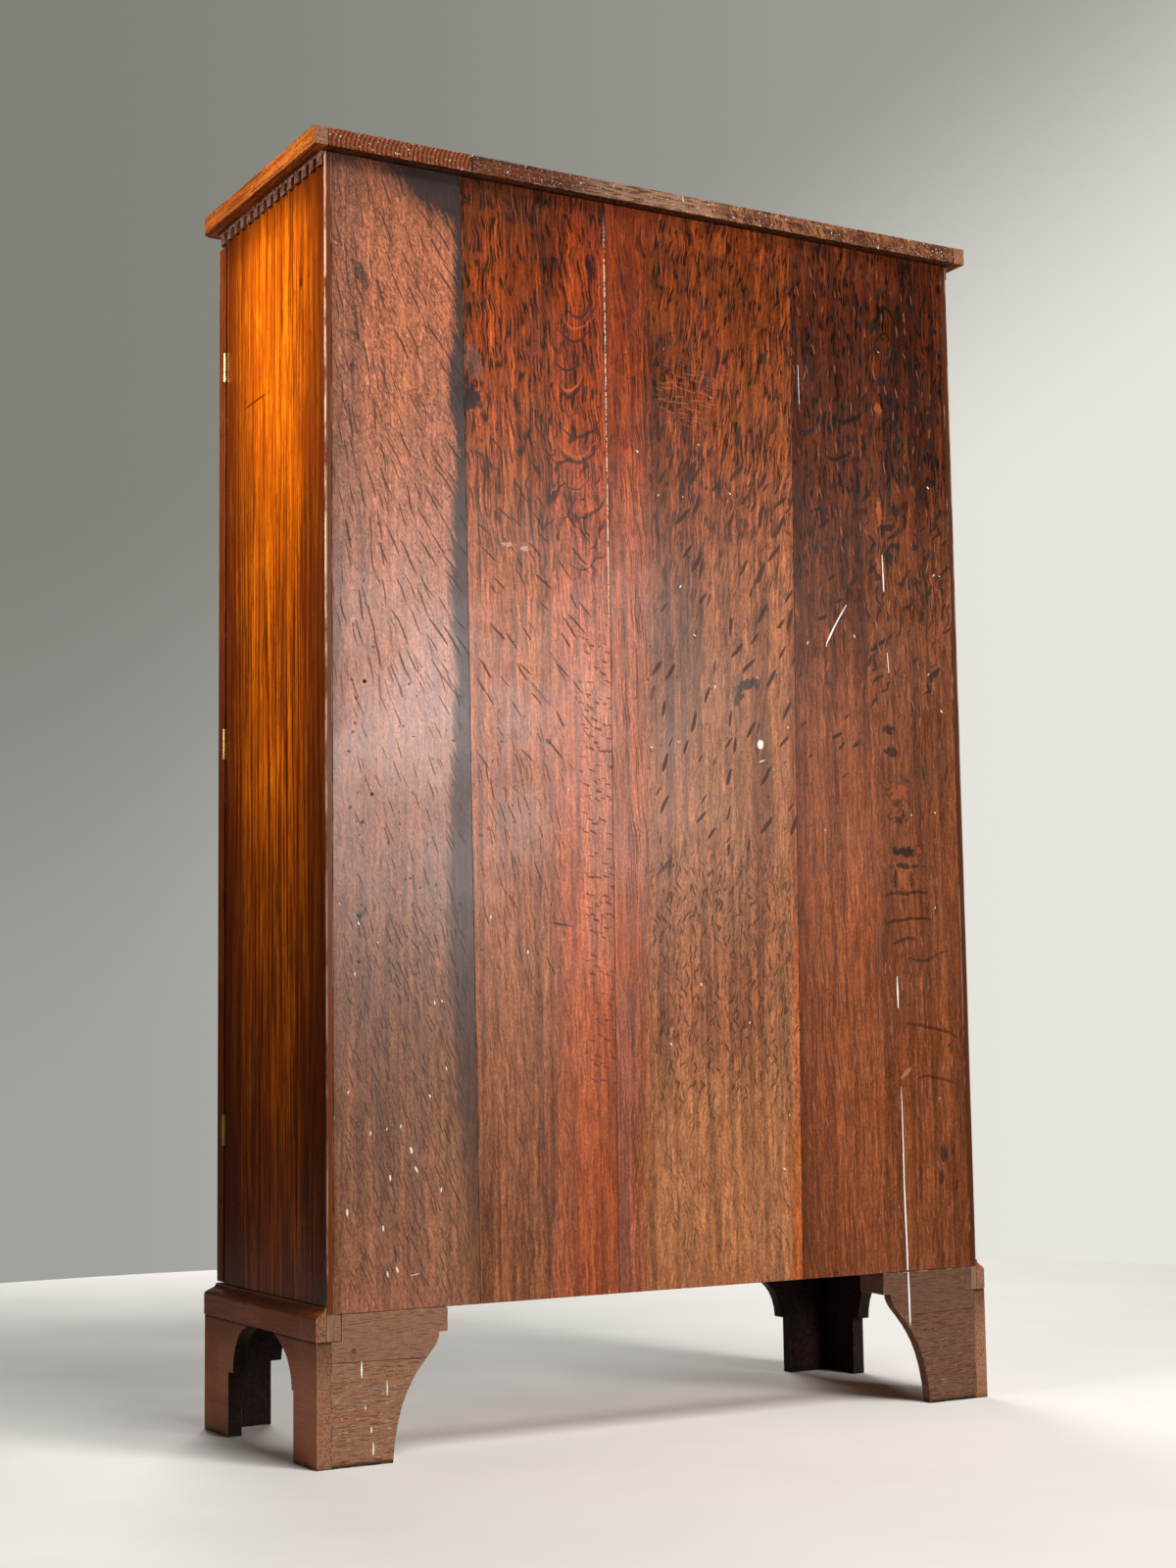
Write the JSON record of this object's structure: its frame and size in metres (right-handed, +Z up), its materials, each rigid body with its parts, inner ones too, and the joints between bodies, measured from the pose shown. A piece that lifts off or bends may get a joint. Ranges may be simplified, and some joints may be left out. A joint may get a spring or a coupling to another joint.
{
  "type": "display cabinet",
  "caption": "Tall free-standing mahogany display cabinet on bracket feet, with oak back boards, a dentil frieze, fixed shelves and a pair of hinged glazed doors with lock and key.",
  "frame": {"origin": "middle of the cabinet's footprint, on the floor; the footprint runs from the ring of the key in front to the rear edge of the top", "axes": "+Z up; the doors face -Y and the back boards face +Y; +X is to the right of someone who faces the doors"},
  "size_m": [1.092, 0.4436, 1.75],
  "materials": {
    "mahogany": "polished, worn at the edges",
    "oak": "stained, semi-gloss on the back boards and dry on the feet",
    "brass": "aged, satin",
    "iron": "dark, worn smooth",
    "glass": "clear sheet glass"
  },
  "bodies": {
    "case": {"top_board": "oak", "top_lipping_front": "mahogany", "top_lipping_right": "mahogany", "top_lipping_left": "mahogany", "frieze_rail": "mahogany", "dentils_front": "mahogany", "dentils_right": "mahogany", "dentils_left": "mahogany", "side_panel_right": "mahogany", "side_panel_left": "mahogany", "back_board_1": "oak", "back_board_2": "oak", "back_board_3": "oak", "back_board_4": "oak", "bottom_board": "oak", "shelf_1": "oak", "shelf_2": "oak", "shelf_3": "oak", "base_moulding_front": "mahogany", "base_moulding_right": "mahogany", "base_moulding_left": "mahogany", "front_bracket_right": "mahogany", "front_bracket_left": "mahogany", "side_front_bracket_right": "mahogany", "side_front_bracket_left": "mahogany", "side_rear_bracket_right": "mahogany", "side_rear_bracket_left": "mahogany", "rear_bracket_right": "oak", "rear_bracket_left": "oak", "rear_block_right": "oak", "rear_block_left": "oak", "case_leaf_right_1": "brass", "case_leaf_right_2": "brass", "case_leaf_right_3": "brass", "case_leaf_left_1": "brass", "case_leaf_left_2": "brass", "case_leaf_left_3": "brass"},
    "right_door": {"hinge_stile_right": "mahogany", "meeting_stile_right": "mahogany", "top_rail_right": "mahogany", "bottom_rail_right": "mahogany", "glazing_bars_right": "mahogany", "glass_right": "glass", "door_leaf_right_1": "brass", "door_leaf_right_2": "brass", "door_leaf_right_3": "brass", "lock_case": "brass", "escutcheon": "brass"},
    "left_door": {"hinge_stile_left": "mahogany", "meeting_stile_left": "mahogany", "top_rail_left": "mahogany", "bottom_rail_left": "mahogany", "glazing_bars_left": "mahogany", "glass_left": "glass", "door_leaf_left_1": "brass", "door_leaf_left_2": "brass", "door_leaf_left_3": "brass"},
    "lock_bolt": {"lock_bolt": "brass"},
    "key": {"key": "iron"},
    "door_bolt": {"door_bolt": "brass"}
  },
  "joints": [
    {"name": "right_door_hinge", "type": "hinge", "parent": "case", "child": "right_door", "pos_m": [0.5238, -0.15925, 0.95], "axis": [0, 0, 1], "range_deg": [0, 170]},
    {"name": "left_door_hinge", "type": "hinge", "parent": "case", "child": "left_door", "pos_m": [-0.5238, -0.15925, 0.95], "axis": [0, 0, -1], "range_deg": [0, 170]},
    {"name": "key_turn", "type": "hinge", "parent": "right_door", "child": "key", "pos_m": [0.02275, -0.18725, 0.94], "axis": [0, -1, 0], "range_deg": [0, 180]},
    {"name": "lock_bolt_slide", "type": "slide", "parent": "right_door", "child": "lock_bolt", "axis": [-1, 0, 0], "range_m": [0, 0.01]},
    {"name": "door_bolt_slide", "type": "slide", "parent": "left_door", "child": "door_bolt", "axis": [0, 0, 1], "range_m": [0, 0.01]}
  ],
  "couplings": [
    {"joint": "key_turn", "follows": "lock_bolt_slide", "rad_per_m": 314.16}
  ]
}
